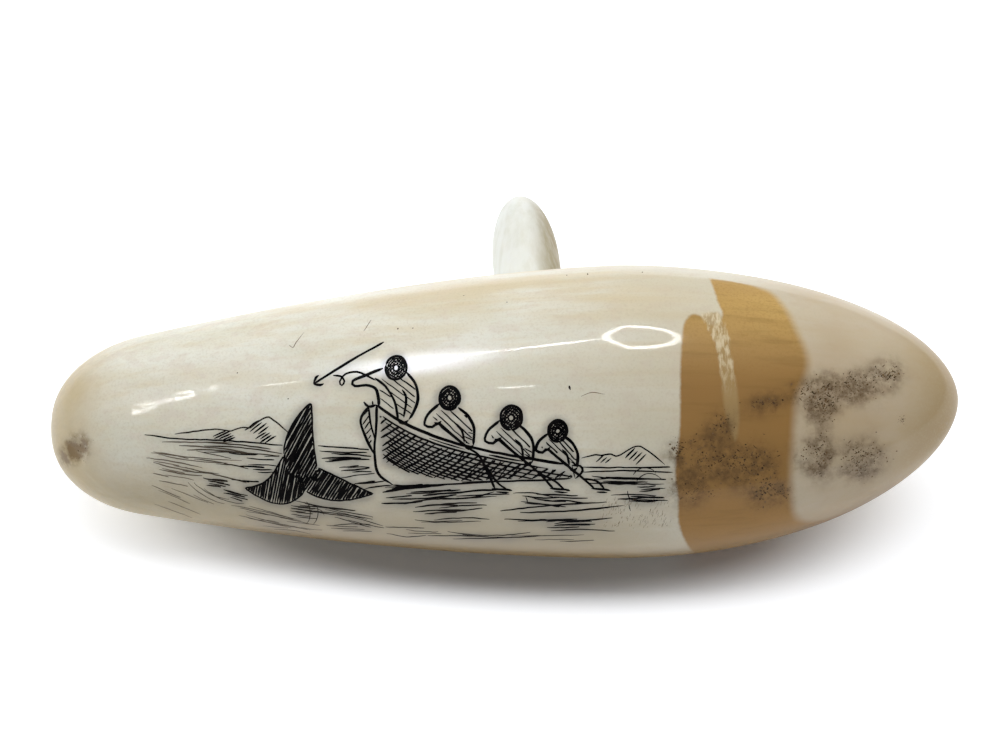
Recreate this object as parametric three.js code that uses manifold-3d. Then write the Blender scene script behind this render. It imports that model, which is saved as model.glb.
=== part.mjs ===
import * as THREE from 'three';
import { mergeVertices } from 'three/addons/utils/BufferGeometryUtils.js';
import Module from 'manifold-3d';

// A sperm whale tooth made for engraving on one broad face. It lies on its belly, and a tapered peg
// set in its back props it, so that the engraved face looks up and forward.
// Millimetres, +Z up. X runs along the tooth from the worn crown to the closed root, and +Y runs from
// the engraved face to the back. The origin is in the middle of the flat that the tooth rests on.

// The tooth. Its face height and depth are measured at the belly, its thickest place.
const TOOTH_LENGTH = 155;
const FACE_HEIGHT = 50;
const TOOTH_DEPTH = 40;
const FACE_LOOKS_UP = THREE.MathUtils.degToRad(55);
const REST_FLAT_DEPTH = 0.45;

// The outline: a place that ends in SHARE is a share of the length, from the crown's tip.
const BELLY_SHARE = 0.631;
const CROWN_TAPER = 0.51;
const CROWN_TAPER_POWER = 1.63;
const CROWN_ROUNDING_SHARE = 0.106;
const CROWN_SQUARENESS = 2.44;
const ROOT_FULLNESS = 1.857;

// How the centre line droops from the belly to the crown and rises to the root
const CROWN_DROOP = 5;
const CROWN_DROOP_POWER = 1.15;
const ROOT_RISE = 3.3;
const ROOT_RISE_POWER = 2.2;

// The worn pit beside the crown's tip
const PIT_SHARE = 0.036;
const PIT_BELOW_FACE = THREE.MathUtils.degToRad(21);
const PIT_BOWL_RADIUS = 5;
const PIT_DEPTH = 0.7;

// The peg and its socket
const PEG_SHARE = 0.547;
const PEG_DIAMETER = 12.4;
const PEG_TIP_LENGTH = 20;
const PEG_SLOPE = THREE.MathUtils.degToRad(16.6);
const PEG_LEAN = THREE.MathUtils.degToRad(3.6);
const PEG_FOOT_FLAT_DEPTH = 0.25;
const PEG_END_CHAMFER = 0.6;
const SOCKET_DEPTH = 9;
const SOCKET_CLEARANCE = 0.3;

// How finely the round shapes are divided
const TOOTH_SIDES = 72;
const TOOTH_RINGS = 46;
const PEG_SIDES = 40;
const PEG_TIP_STEPS = 14;
const PIT_SIDES = 32;

const wasm = await Module();
wasm.setup();

// Directions square to the tooth's length: up the engraved face, and out of it
const UP_THE_FACE = new THREE.Vector3(0, Math.sin(FACE_LOOKS_UP), Math.cos(FACE_LOOKS_UP));
const OUT_OF_THE_FACE = new THREE.Vector3(0, -Math.cos(FACE_LOOKS_UP), Math.sin(FACE_LOOKS_UP));
const DOWN = new THREE.Vector3(0, 0, -1);

// The tooth's girth at a station, as a share of the belly's. Stations run from 0, crown, to 1, root.
function girthShare(station) {
  if (station >= BELLY_SHARE) {
    const pastBelly = (station - BELLY_SHARE) / (1 - BELLY_SHARE);
    return Math.max(0, 1 - pastBelly ** 2) ** (1 / ROOT_FULLNESS);
  }
  const beforeBelly = (BELLY_SHARE - station) / BELLY_SHARE;
  const taper = 1 - CROWN_TAPER * beforeBelly ** CROWN_TAPER_POWER;
  const fromTip = Math.min(1, station / CROWN_ROUNDING_SHARE);
  const rounding = (1 - (1 - fromTip) ** CROWN_SQUARENESS) ** (1 / CROWN_SQUARENESS);
  return taper * rounding;
}

function centreHeight(station) {
  if (station >= BELLY_SHARE) {
    return ROOT_RISE * ((station - BELLY_SHARE) / (1 - BELLY_SHARE)) ** ROOT_RISE_POWER;
  }
  return -CROWN_DROOP * ((BELLY_SHARE - station) / BELLY_SHARE) ** CROWN_DROOP_POWER;
}

// The centre line, with the belly's centre at height 0
function centreLine(station) {
  return new THREE.Vector3(station * TOOTH_LENGTH, 0, centreHeight(station));
}

// A point on the oval skin. The turn is 0 in the middle of the engraved face and grows upwards.
function skinPoint(station, turn) {
  const girth = girthShare(station);
  return centreLine(station)
    .addScaledVector(UP_THE_FACE, (FACE_HEIGHT / 2) * girth * Math.sin(turn))
    .addScaledVector(OUT_OF_THE_FACE, (TOOTH_DEPTH / 2) * girth * Math.cos(turn));
}

// How far the skin lies from the centre line, in a direction square to the tooth's length
function skinDistance(station, direction) {
  const girth = girthShare(station);
  const up = direction.dot(UP_THE_FACE) / ((FACE_HEIGHT / 2) * girth);
  const out = direction.dot(OUT_OF_THE_FACE) / ((TOOTH_DEPTH / 2) * girth);
  return 1 / Math.hypot(up, out);
}

// The height of the belly's centre over the table once the rest flat has been cut
function restingHeight() {
  let lowest = 0;
  const samples = 400;
  for (let i = 0; i <= samples; i += 1) {
    const station = i / samples;
    const girth = girthShare(station);
    const reach = Math.hypot(
      (FACE_HEIGHT / 2) * girth * DOWN.dot(UP_THE_FACE),
      (TOOTH_DEPTH / 2) * girth * DOWN.dot(OUT_OF_THE_FACE),
    );
    lowest = Math.min(lowest, centreHeight(station) - reach);
  }
  return -lowest - REST_FLAT_DEPTH;
}

function asSolid(geometry) {
  const bare = geometry.clone();
  bare.deleteAttribute('normal');
  bare.deleteAttribute('uv');
  const merged = mergeVertices(bare, 1e-4);
  return new wasm.Manifold(new wasm.Mesh({
    numProp: 3,
    vertProperties: merged.attributes.position.array,
    triVerts: new Uint32Array(merged.index.array),
  }));
}

function asGeometry(solid) {
  const mesh = solid.getMesh();
  const geometry = new THREE.BufferGeometry();
  geometry.setAttribute('position', new THREE.BufferAttribute(mesh.vertProperties, 3));
  geometry.setIndex(new THREE.BufferAttribute(mesh.triVerts, 1));
  geometry.computeVertexNormals();
  return geometry;
}

// Everything below the table, to plane a flat where a piece rests on it
function belowTable() {
  const size = 4 * TOOTH_LENGTH;
  return asSolid(new THREE.BoxGeometry(size, size, size).translate(0, 0, -size / 2));
}

// The tooth's skin is a ball whose poles are the crown and the root, drawn out to the outline.
function toothSkin() {
  const skin = new THREE.SphereGeometry(1, TOOTH_SIDES, TOOTH_RINGS);
  const place = skin.attributes.position;
  for (let i = 0; i < place.count; i += 1) {
    const ball = new THREE.Vector3().fromBufferAttribute(place, i);
    const station = THREE.MathUtils.clamp((1 - ball.y) / 2, 0, 1);
    const turn = Math.atan2(-ball.z, ball.x);
    place.setXYZ(i, ...skinPoint(station, turn));
  }
  return skin;
}

// The pit is the bite of a ball that reaches a little way into the skin.
function pitCutter() {
  const onSkin = skinPoint(PIT_SHARE, -PIT_BELOW_FACE);
  const stationStep = 0.002;
  const turnStep = 0.02;
  const alongSkin = skinPoint(PIT_SHARE + stationStep, -PIT_BELOW_FACE).sub(onSkin);
  const roundSkin = skinPoint(PIT_SHARE, -PIT_BELOW_FACE + turnStep).sub(onSkin);
  const outward = alongSkin.cross(roundSkin).normalize();
  if (outward.dot(OUT_OF_THE_FACE) < 0) {
    outward.negate();
  }
  const middle = onSkin.addScaledVector(outward, PIT_BOWL_RADIUS - PIT_DEPTH);
  return new THREE.SphereGeometry(PIT_BOWL_RADIUS, PIT_SIDES, PIT_SIDES / 2).translate(...middle);
}

// Where the peg runs: from the tooth's centre line back and down to the table
function pegLine(height) {
  const direction = new THREE.Vector3(
    -Math.cos(PEG_SLOPE) * Math.sin(PEG_LEAN),
    Math.cos(PEG_SLOPE) * Math.cos(PEG_LEAN),
    -Math.sin(PEG_SLOPE),
  );
  const start = centreLine(PEG_SHARE);
  start.z += height;
  const square = new THREE.Vector3(0, direction.y, direction.z).normalize();
  const toSkin = skinDistance(PEG_SHARE, square);
  const tipDrop = Math.hypot(
    PEG_TIP_LENGTH * Math.sin(PEG_SLOPE),
    (PEG_DIAMETER / 2) * Math.cos(PEG_SLOPE),
  );
  const toTipStart = (start.z - tipDrop + PEG_FOOT_FLAT_DEPTH) / Math.sin(PEG_SLOPE);
  return { start, direction, toSkin, toTipStart };
}

// Turns a lathed shape, which stands along +Y, to lie along the peg's line
function alongPeg(geometry, line, distance) {
  const turned = new THREE.Quaternion().setFromUnitVectors(new THREE.Vector3(0, 1, 0), line.direction);
  const from = line.start.clone().addScaledVector(line.direction, distance);
  return geometry.applyQuaternion(turned).translate(...from);
}

// The socket's cutter runs well past the skin, which slants across its mouth
function socketCutter(line) {
  const radius = PEG_DIAMETER / 2 + SOCKET_CLEARANCE;
  const length = SOCKET_DEPTH + 2 * PEG_DIAMETER;
  const cutter = new THREE.CylinderGeometry(radius, radius, length, PEG_SIDES).translate(0, length / 2, 0);
  return alongPeg(cutter, line, line.toSkin - SOCKET_DEPTH);
}

// A round bar from the socket's floor to where it starts to narrow, and half an egg beyond
function pegShape(line) {
  const radius = PEG_DIAMETER / 2;
  const rootEnd = line.toSkin - SOCKET_DEPTH + SOCKET_CLEARANCE;
  const barLength = line.toTipStart - rootEnd;
  const profile = [
    new THREE.Vector2(0, 0),
    new THREE.Vector2(radius - PEG_END_CHAMFER, 0),
    new THREE.Vector2(radius, PEG_END_CHAMFER),
  ];
  for (let i = 0; i < PEG_TIP_STEPS; i += 1) {
    const angle = (i / PEG_TIP_STEPS) * (Math.PI / 2);
    profile.push(new THREE.Vector2(
      radius * Math.cos(angle),
      barLength + PEG_TIP_LENGTH * Math.sin(angle),
    ));
  }
  profile.push(new THREE.Vector2(0, barLength + PEG_TIP_LENGTH));
  return alongPeg(new THREE.LatheGeometry(profile, PEG_SIDES), line, rootEnd);
}

// The middle of the flat that a solid stands on
function flatMiddle(geometry) {
  const flat = new THREE.Box3();
  const place = geometry.attributes.position;
  const nearTable = 1e-3;
  for (let i = 0; i < place.count; i += 1) {
    if (Math.abs(place.getZ(i)) < nearTable) {
      flat.expandByPoint(new THREE.Vector3().fromBufferAttribute(place, i));
    }
  }
  return flat.getCenter(new THREE.Vector3());
}

function polishedIvory() {
  return new THREE.MeshStandardMaterial({ color: 0xdcd3bd, roughness: 0.3, metalness: 0 });
}

function whiteIvory() {
  return new THREE.MeshStandardMaterial({ color: 0xe9e6da, roughness: 0.4, metalness: 0 });
}

const height = restingHeight();
const line = pegLine(height);
const table = belowTable();

const toothSolid = asSolid(toothSkin())
  .subtract(asSolid(pitCutter()))
  .translate(0, 0, height)
  .subtract(asSolid(socketCutter(line)))
  .subtract(table);
const tooth = new THREE.Mesh(asGeometry(toothSolid), polishedIvory());
tooth.name = 'tooth';

const propPeg = new THREE.Mesh(asGeometry(asSolid(pegShape(line)).subtract(table)), whiteIvory());
propPeg.name = 'prop_peg';

const scrimshawTooth = new THREE.Group();
scrimshawTooth.add(tooth, propPeg);
scrimshawTooth.position.copy(flatMiddle(tooth.geometry)).negate();

export default scrimshawTooth;
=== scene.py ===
import math
import random
from contextlib import contextmanager

import bmesh
import bpy
import numpy as np
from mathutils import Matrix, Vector
from mathutils.bvhtree import BVHTree


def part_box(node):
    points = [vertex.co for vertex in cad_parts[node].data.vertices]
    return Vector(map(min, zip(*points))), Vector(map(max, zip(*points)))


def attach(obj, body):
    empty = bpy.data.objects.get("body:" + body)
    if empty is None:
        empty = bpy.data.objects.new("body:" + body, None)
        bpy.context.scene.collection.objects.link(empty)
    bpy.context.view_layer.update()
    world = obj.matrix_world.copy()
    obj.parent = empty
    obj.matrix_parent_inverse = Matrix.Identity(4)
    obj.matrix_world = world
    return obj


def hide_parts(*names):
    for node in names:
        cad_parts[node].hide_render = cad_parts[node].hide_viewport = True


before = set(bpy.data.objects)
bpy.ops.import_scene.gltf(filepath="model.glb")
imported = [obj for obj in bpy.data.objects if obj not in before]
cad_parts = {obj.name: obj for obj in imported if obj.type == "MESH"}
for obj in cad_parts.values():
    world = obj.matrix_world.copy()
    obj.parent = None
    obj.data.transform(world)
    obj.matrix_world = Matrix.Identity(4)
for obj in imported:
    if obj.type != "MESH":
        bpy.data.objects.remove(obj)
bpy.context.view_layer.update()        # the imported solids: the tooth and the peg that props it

mm = 0.001
print("frame loaded:", ", ".join(sorted(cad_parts)))

# What the whole tooth is shaped by, as in the solids. Stations run from 0, crown, to 1, root.
tooth = {
    "length": 155 * mm,
    "faceHeight": 50 * mm,
    "depth": 40 * mm,
    "faceLooksUp": math.radians(55),
    "bellyAt": 0.631,
    "crownTaper": 0.51,
    "crownTaperPower": 1.63,
    "crownRounding": 0.106,
    "crownSquareness": 2.44,
    "rootFullness": 1.857,
    "crownDroop": 5 * mm,
    "crownDroopPower": 1.15,
    "rootRise": 3.3 * mm,
    "rootRisePower": 2.2,
    "around": 250,             # points round the skin
    "along": 384,              # rings from crown to root
    "waver": 0.05 * mm,        # how far a hand-polished skin wanders inwards
    "waves": [(2, 5.1, 0), (-3, 8.3, 1.3), (1, 3.4, 4.1)],     # how many to the turn, mm, offset
    "pitAt": 0.036,
    "pitTurn": math.radians(-21),
    "pitRadius": 2.6 * mm,
    "pitLobes": [(0.10, 3, 0), (0.06, 5, 1)],  # the ragged rim: share, how many, offset
    "pitDepth": 0.7 * mm,
}

lowCorner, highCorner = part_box("tooth")
lookUp = tooth["faceLooksUp"]
faceUp = np.array([0, math.sin(lookUp), math.cos(lookUp)])       # up the engraved face
faceOut = np.array([0, -math.cos(lookUp), math.sin(lookUp)])     # straight out of it
halfHeight = tooth["faceHeight"] / 2
halfDepth = tooth["depth"] / 2
bellyReach = math.hypot(halfHeight * math.cos(lookUp), halfDepth * math.sin(lookUp))
bellyCentre = np.array([lowCorner.x, (lowCorner.y + highCorner.y) / 2, highCorner.z - bellyReach])


# How far a station lies to the crown's and to the root's side of the belly, each from 0 to 1
def bellySides(station):
    beforeBelly = (tooth["bellyAt"] - station) / tooth["bellyAt"]
    pastBelly = (station - tooth["bellyAt"]) / (1 - tooth["bellyAt"])
    return np.clip(beforeBelly, 0, 1), np.clip(pastBelly, 0, 1)


def girthShare(station):
    station = np.clip(station, 0, 1)
    beforeBelly, pastBelly = bellySides(station)
    rootGirth = (1 - pastBelly ** 2) ** (1 / tooth["rootFullness"])
    taper = 1 - tooth["crownTaper"] * beforeBelly ** tooth["crownTaperPower"]
    fromTip = np.minimum(1, station / tooth["crownRounding"])
    squareness = tooth["crownSquareness"]
    rounding = (1 - (1 - fromTip) ** squareness) ** (1 / squareness)
    return np.where(station >= tooth["bellyAt"], rootGirth, taper * rounding)


def centreLine(station):
    station = np.asarray(station, float)
    beforeBelly, pastBelly = bellySides(station)
    rise = tooth["rootRise"] * pastBelly ** tooth["rootRisePower"]
    droop = tooth["crownDroop"] * beforeBelly ** tooth["crownDroopPower"]
    line = np.zeros(station.shape + (3,)) + bellyCentre
    line[..., 0] += station * tooth["length"]
    line[..., 2] += rise - droop
    return line


def skinPoint(station, turn):
    girth = girthShare(station)
    up = halfHeight * girth * np.sin(turn)
    out = halfDepth * girth * np.cos(turn)
    return centreLine(station) + up[..., None] * faceUp + out[..., None] * faceOut


# Where points of the skin lie: mm from the crown's tip, mm up the face, and the turn round the tooth
def skinPlace(points):
    along = points[:, 0] - bellyCentre[0]
    fromCentre = points - centreLine(along / tooth["length"])
    up = fromCentre @ faceUp
    out = fromCentre @ faceOut
    turn = np.arctan2(up / halfHeight, out / halfDepth)
    return along / mm, up / mm, turn


def smoothStep(value, low, high):
    share = np.clip((value - low) / (high - low), 0, 1)
    return share * share * (3 - 2 * share)


def readPoints(piece):
    points = np.empty(len(piece.data.vertices) * 3)
    piece.data.vertices.foreach_get("co", points)
    return points.reshape(-1, 3)


def writePoints(piece, points):
    piece.data.vertices.foreach_set("co", np.ascontiguousarray(points, np.float32).ravel())
    piece.data.update()


def pickOnly(piece):
    bpy.ops.object.select_all(action="DESELECT")
    piece.select_set(True)
    bpy.context.view_layer.objects.active = piece


def applyPlace(piece):
    pickOnly(piece)
    bpy.ops.object.transform_apply(location=True, rotation=True, scale=True)


# Edit mode on one piece, with all of it picked
@contextmanager
def editing(piece):
    pickOnly(piece)
    bpy.ops.object.mode_set(mode="EDIT")
    bpy.ops.mesh.select_all(action="SELECT")
    yield
    bpy.ops.object.mode_set(mode="OBJECT")


def planeOffBelowTable(piece):
    with editing(piece):
        bpy.ops.mesh.bisect(plane_co=(0, 0, 0), plane_no=(0, 0, 1), use_fill=True, clear_inner=True)


def smoothExceptFlat(piece, angle=35):
    pickOnly(piece)
    bpy.ops.object.shade_smooth_by_angle(angle=math.radians(angle))
    nearTable = 0.001 * mm
    form = bmesh.new()
    form.from_mesh(piece.data)
    for face in form.faces:
        if all(abs(corner.co.z) < nearTable for corner in face.verts):
            face.smooth = False
            for edge in face.edges:
                edge.smooth = False
    form.to_mesh(piece.data)
    form.free()


def addValues(piece, name, values):
    layer = piece.data.attributes.new(name, "FLOAT", "POINT")
    layer.data.foreach_set("value", np.ascontiguousarray(values, np.float32))


# The prop peg, as in the solids: from its socket in the tooth's back down to the table
peg = {
    "at": 0.547,
    "diameter": 12.4 * mm,
    "tipLength": 20 * mm,
    "slope": math.radians(16.6),
    "lean": math.radians(3.6),
    "footFlatDepth": 0.25 * mm,
    "socketDepth": 9 * mm,
    "socketGap": 0.2 * mm,
    "endGap": 0.3 * mm,
    "endChamfer": 0.6 * mm,
    "sides": 96,
    "barRings": 14,
    "tipRings": 18,
    "waver": 0.06 * mm,        # whittled by hand, so not quite round
    "cuts": [(9, 7, 0), (5, -11, 2)],      # of the knife: how many to the turn, mm, offset
}
pegRadius = peg["diameter"] / 2
pegDirection = np.array([
    -math.cos(peg["slope"]) * math.sin(peg["lean"]),
    math.cos(peg["slope"]) * math.cos(peg["lean"]),
    -math.sin(peg["slope"]),
])
pegStart = centreLine(peg["at"])
tipDrop = math.hypot(peg["tipLength"] * math.sin(peg["slope"]), pegRadius * math.cos(peg["slope"]))
pegTipStart = (pegStart[2] - tipDrop + peg["footFlatDepth"]) / math.sin(peg["slope"])
acrossTooth = pegDirection * np.array([0, 1, 1])
acrossTooth /= np.linalg.norm(acrossTooth)
pegGirth = float(girthShare(np.array(peg["at"])))
pegToSkin = 1 / math.hypot(
    acrossTooth @ faceUp / (halfHeight * pegGirth), acrossTooth @ faceOut / (halfDepth * pegGirth)
)
pegTurn = Vector(pegDirection).to_track_quat("Z", "Y").to_euler()


def onPegLine(distance):
    return Vector(pegStart + pegDirection * distance)


# A round bar on the peg's line
def addBar(start, length, radius):
    bpy.ops.mesh.primitive_cylinder_add(
        vertices=peg["sides"], radius=radius, depth=length,
        location=onPegLine(start + length / 2), rotation=pegTurn,
    )
    return bpy.context.object


def wavesOf(turn, along, waves):
    return sum(np.sin(count * turn + along / length + offset) for count, length, offset in waves)


# The relief of the skin in metres, never outwards: the polisher's waver and the worn pit at the crown
def skinRelief(station, turn):
    count = len(tooth["waves"])
    waves = wavesOf(turn, station * tooth["length"] / mm, tooth["waves"])
    relief = -tooth["waver"] * (waves + count) / (2 * count)
    fromPit = skinPoint(station, turn) - skinPoint(np.array(tooth["pitAt"]), np.array(tooth["pitTurn"]))
    bearing = np.arctan2(fromPit @ faceUp, fromPit[..., 0])
    lobes = (share * np.sin(count * bearing + offset) for share, count, offset in tooth["pitLobes"])
    away = np.linalg.norm(fromPit, axis=-1) / (tooth["pitRadius"] * sum(lobes, 1))
    return relief - tooth["pitDepth"] * np.clip(1 - away ** 2, 0, 1)


def makeTooth():
    bpy.ops.mesh.primitive_uv_sphere_add(
        segments=tooth["around"], ring_count=tooth["along"], radius=1, rotation=(0, math.pi / 2, 0)
    )
    body = bpy.context.object
    body.name = "engraved_tooth"
    applyPlace(body)
    # the ball is drawn out to the tooth's outline, its poles at the crown and the root
    ball = readPoints(body)
    station = np.clip((1 + ball[:, 0]) / 2, 0, 1)
    turn = np.arctan2(ball @ faceUp, ball @ faceOut)
    skin = skinPoint(station, turn)
    outward = skin - centreLine(station)
    outward /= np.maximum(np.linalg.norm(outward, axis=1), 1e-9)[:, None]
    writePoints(body, skin + outward * skinRelief(station, turn)[:, None])
    planeOffBelowTable(body)
    # the socket is bored on the peg's line, from its floor to well outside the skin
    boreLength = peg["socketDepth"] + 2 * peg["diameter"]
    borer = addBar(pegToSkin - peg["socketDepth"], boreLength, pegRadius + peg["socketGap"])
    bore = body.modifiers.new("socket", "BOOLEAN")
    bore.object = borer
    bore.operation = "DIFFERENCE"
    bore.solver = "EXACT"
    pickOnly(body)
    bpy.ops.object.modifier_apply(modifier="socket")
    bpy.data.objects.remove(borer)
    smoothExceptFlat(body)
    return body


# In edit mode, selects only the end face of the peg that lies on a point of its line
def selectEndFace(piece, place):
    bpy.ops.mesh.select_mode(type="FACE")
    bpy.ops.mesh.select_all(action="DESELECT")
    form = bmesh.from_edit_mesh(piece.data)
    endFace = min(form.faces, key=lambda face: (face.calc_center_median() - place).length)
    endFace.select_set(True)
    bmesh.update_edit_mesh(piece.data)


def drawOut(distance):
    bpy.ops.mesh.extrude_region_move(TRANSFORM_OT_translate={"value": Vector(pegDirection) * distance})


def makePeg():
    rootEnd = pegToSkin - peg["socketDepth"] + peg["endGap"]
    barLength = pegTipStart - rootEnd
    piece = addBar(rootEnd, barLength, pegRadius)
    piece.name = "whittled_peg"
    applyPlace(piece)
    with editing(piece):
        for ring in range(1, peg["barRings"]):
            bpy.ops.mesh.select_all(action="SELECT")
            place = onPegLine(rootEnd + barLength * ring / peg["barRings"])
            bpy.ops.mesh.bisect(plane_co=place, plane_no=pegDirection)
        # the far end face is drawn out ring by ring to half an egg
        selectEndFace(piece, onPegLine(pegTipStart))
        reach, width = 0, 1
        for ring in range(1, peg["tipRings"] + 1):
            angle = ring / (peg["tipRings"] + 1) * math.pi / 2
            newReach, newWidth = peg["tipLength"] * math.sin(angle), math.cos(angle)
            drawOut(newReach - reach)
            middle = onPegLine(pegTipStart + newReach)
            bpy.ops.transform.resize(value=(newWidth / width,) * 3, center_override=middle)
            reach, width = newReach, newWidth
        drawOut(peg["tipLength"] - reach)
        bpy.ops.mesh.merge(type="CENTER")
        # the hidden end is chamfered
        selectEndFace(piece, onPegLine(rootEnd))
        bpy.ops.mesh.bevel(offset=peg["endChamfer"], segments=2)
        bpy.ops.mesh.select_all(action="SELECT")
        bpy.ops.mesh.normals_make_consistent(inside=False)
    # the knife's long flat cuts
    points = readPoints(piece)
    fromLine = points - pegStart
    distance = fromLine @ pegDirection
    spoke = fromLine - distance[:, None] * pegDirection
    bearing = np.arctan2(spoke[:, 0], spoke[:, 2])
    count = len(peg["cuts"])
    cuts = (wavesOf(bearing, distance / mm, peg["cuts"]) + count) / (2 * count)
    writePoints(piece, points - spoke * (cuts * peg["waver"] / pegRadius)[:, None])
    planeOffBelowTable(piece)
    smoothExceptFlat(piece, 50)
    return piece


engravedTooth = makeTooth()
print("tooth shaped:", len(engravedTooth.data.polygons), "faces")
whittledPeg = makePeg()
print("peg shaped:", len(whittledPeg.data.polygons), "faces")

# The engraving. Every place on the face is in mm: x from the crown's tip, v up from the middle line.
# A stroke is cut with a needle and filled with ink, so it is a sliver that hardly rises above the skin.
engraving = {
    "bold": 0.50,
    "middling": 0.34,
    "fine": 0.20,
    "hair": 0.12,
    "step": 0.7,               # the longest stretch of a stroke with no point
    "shake": 0.035,            # how far the hand shakes
    "proud": 0.012 * mm,       # of the ink over the skin
    "cutDepth": 0.09 * mm,
    "pressed": 0.4,            # the share of its width that a stroke starts with
    "lifted": 0.25,            # and ends with
    "unevenness": 0.10,        # how much a stroke's width comes and goes
    "castFrom": 80 * mm,       # how far out the rays start that find the skin
    "seed": 41,
}
bold, middling, fine, hair = (engraving[name] for name in ("bold", "middling", "fine", "hair"))
hand = random.Random(engraving["seed"])
toothTree = BVHTree.FromObject(engravedTooth, bpy.context.evaluated_depsgraph_get())
inkedPlaces = []               # (x, v, width) along every stroke, for the haze of ink round them


def onSkin(x, v):
    start = centreLine(x * mm / tooth["length"]) + faceUp * v * mm + faceOut * engraving["castFrom"]
    return toothTree.ray_cast(Vector(start), Vector(-faceOut))[:2]


def placed(points, origin, size):
    return [(origin[0] + x * size, origin[1] + v * size) for x, v in points]


# A smooth curve through a few points, with a point at every step
def curveThrough(points, step=engraving["step"]):
    points = np.asarray(points, float)
    if len(points) == 2:
        count = max(2, math.ceil(np.linalg.norm(points[1] - points[0]) / step) + 1)
        return points[0] + (points[1] - points[0]) * np.linspace(0, 1, count)[:, None]
    padded = np.vstack([2 * points[0] - points[1], points, 2 * points[-1] - points[-2]])
    curve = [points[:1]]
    for i in range(len(points) - 1):
        before, start, end, after = padded[i:i + 4]
        count = max(2, math.ceil(np.linalg.norm(end - start) / step))
        t = (np.arange(1, count + 1) / count)[:, None]
        curve.append(0.5 * (
            2 * start
            + (end - before) * t
            + (2 * before - 5 * start + 4 * end - after) * t ** 2
            + (3 * start - before - 3 * end + after) * t ** 3
        ))
    return np.vstack(curve)


class Drawing:
    # Collects the slivers of one engraved figure, and makes one piece of them
    def __init__(self, name):
        self.name = name
        self.corners, self.faces, self.fades = [], [], []

    def stroke(self, points, width, startTaper=0.25, endTaper=0.12, fade=0.0, shake=1.0):
        curve = curveThrough(points)
        count = len(curve)
        offsets = np.array([[hand.gauss(0, 1), hand.gauss(0, 1)] for _ in range(count)])
        if count > 4:
            offsets[1:-1] = (offsets[:-2] + offsets[1:-1] * 2 + offsets[2:]) / 4
        curve = curve + offsets * engraving["shake"] * shake
        share = np.linspace(0, 1, count)
        pressed, lifted = engraving["pressed"], engraving["lifted"]
        press = np.minimum(1, pressed + share / startTaper * (1 - pressed))
        lift = np.minimum(1, lifted + (1 - share) / endTaper * (1 - lifted))
        uneven = 1 + engraving["unevenness"] * np.sin(share * 9 + hand.uniform(0, 6))
        widths = width * np.minimum(press, lift) * uneven
        places = []
        for (x, v), wide in zip(curve, widths):
            place, normal = onSkin(x, v)
            if place is not None:
                places.append((place, normal, wide * mm / 2))
                inkedPlaces.append((x, v, wide * (1 - 0.6 * fade)))
        if len(places) < 2:
            return
        first = len(self.corners)
        for i, (place, normal, half) in enumerate(places):
            ahead = places[min(i + 1, len(places) - 1)][0] - places[max(i - 1, 0)][0]
            side = normal.cross(ahead).normalized() * half
            self.corners += [
                place + side + normal * engraving["proud"],
                place - side + normal * engraving["proud"],
                place - normal * engraving["cutDepth"],
            ]
            self.fades += [fade] * 3
        last = len(self.corners) - 3
        for a in range(first, last, 3):
            b = a + 3
            self.faces += [(a, a + 1, b + 1, b), (a + 1, a + 2, b + 2, b + 1), (a + 2, a, b, b + 2)]
        self.faces += [(first + 2, first + 1, first), (last, last + 1, last + 2)]

    # Rows of points, width and tapers, for a figure that is drawn about an origin
    def strokes(self, rows, origin=(0, 0), size=1):
        for points, *more in rows:
            self.stroke(placed(points, origin, size), *more)

    # A stroke that stops at closed shapes: followed in fine steps, and drawn through every few of them
    def broken(self, points, keepOff, width, startTaper, endTaper, fade=0.0, step=0.5, every=2, least=2):
        for run in runsOf(curveThrough(points, step), keepOff):
            if len(run) >= least:
                self.stroke(run[::every] + [run[-1]], width, startTaper, endTaper, fade)

    def dot(self, x, v, size, fade=0.0):
        angle = hand.uniform(0, math.pi)
        dx, dv = math.cos(angle) * size / 2, math.sin(angle) * size / 2
        self.stroke([(x - dx, v - dv), (x, v), (x + dx, v + dv)], size * 0.9, 0.5, 0.5, fade, 0.3)

    # Parallel strokes across a closed shape, at an angle in degrees
    def hatch(self, shape, angle, gap, width, inset=0.15, skip=0.0, keepOff=()):
        turn = math.radians(angle)
        ahead = np.array([math.cos(turn), math.sin(turn)])
        across = np.array([-ahead[1], ahead[0]])
        shape = np.asarray(shape, float)
        level = (shape @ across).min() + gap * hand.uniform(0.3, 0.9)
        while level < (shape @ across).max():
            for start, end in crossings(shape, ahead, across, level):
                start += inset * hand.uniform(0.5, 1.6)
                end -= inset * hand.uniform(0.5, 1.6)
                if end - start > 0.25 and hand.random() >= skip:
                    a = ahead * start + across * (level + hand.gauss(0, gap * 0.08))
                    b = ahead * end + across * (level + hand.gauss(0, gap * 0.12))
                    thickness = width * hand.uniform(0.8, 1.15)
                    self.broken([a, (a + b) / 2, b], keepOff, thickness, 0.12, 0.12, step=0.3, every=3)
            level += gap * hand.uniform(0.85, 1.15)

    def finish(self, material):
        mesh = bpy.data.meshes.new(self.name)
        mesh.from_pydata([tuple(corner) for corner in self.corners], [], self.faces)
        piece = bpy.data.objects.new(self.name, mesh)
        bpy.context.scene.collection.objects.link(piece)
        with editing(piece):
            bpy.ops.mesh.normals_make_consistent(inside=False)
        addValues(piece, "inkFade", self.fades)
        mesh.materials.append(material)
        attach(piece, "root")
        print(self.name + ":", len(mesh.polygons), "faces")


# Where a line at one level crosses a closed shape, as pairs along its direction
def crossings(shape, ahead, across, level):
    along, over = shape @ ahead, shape @ across
    cuts = []
    for i in range(len(shape)):
        j = (i + 1) % len(shape)
        if (over[i] > level) != (over[j] > level):
            share = (level - over[i]) / (over[j] - over[i])
            cuts.append(along[i] + (along[j] - along[i]) * share)
    cuts.sort()
    return list(zip(cuts[::2], cuts[1::2]))


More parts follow.
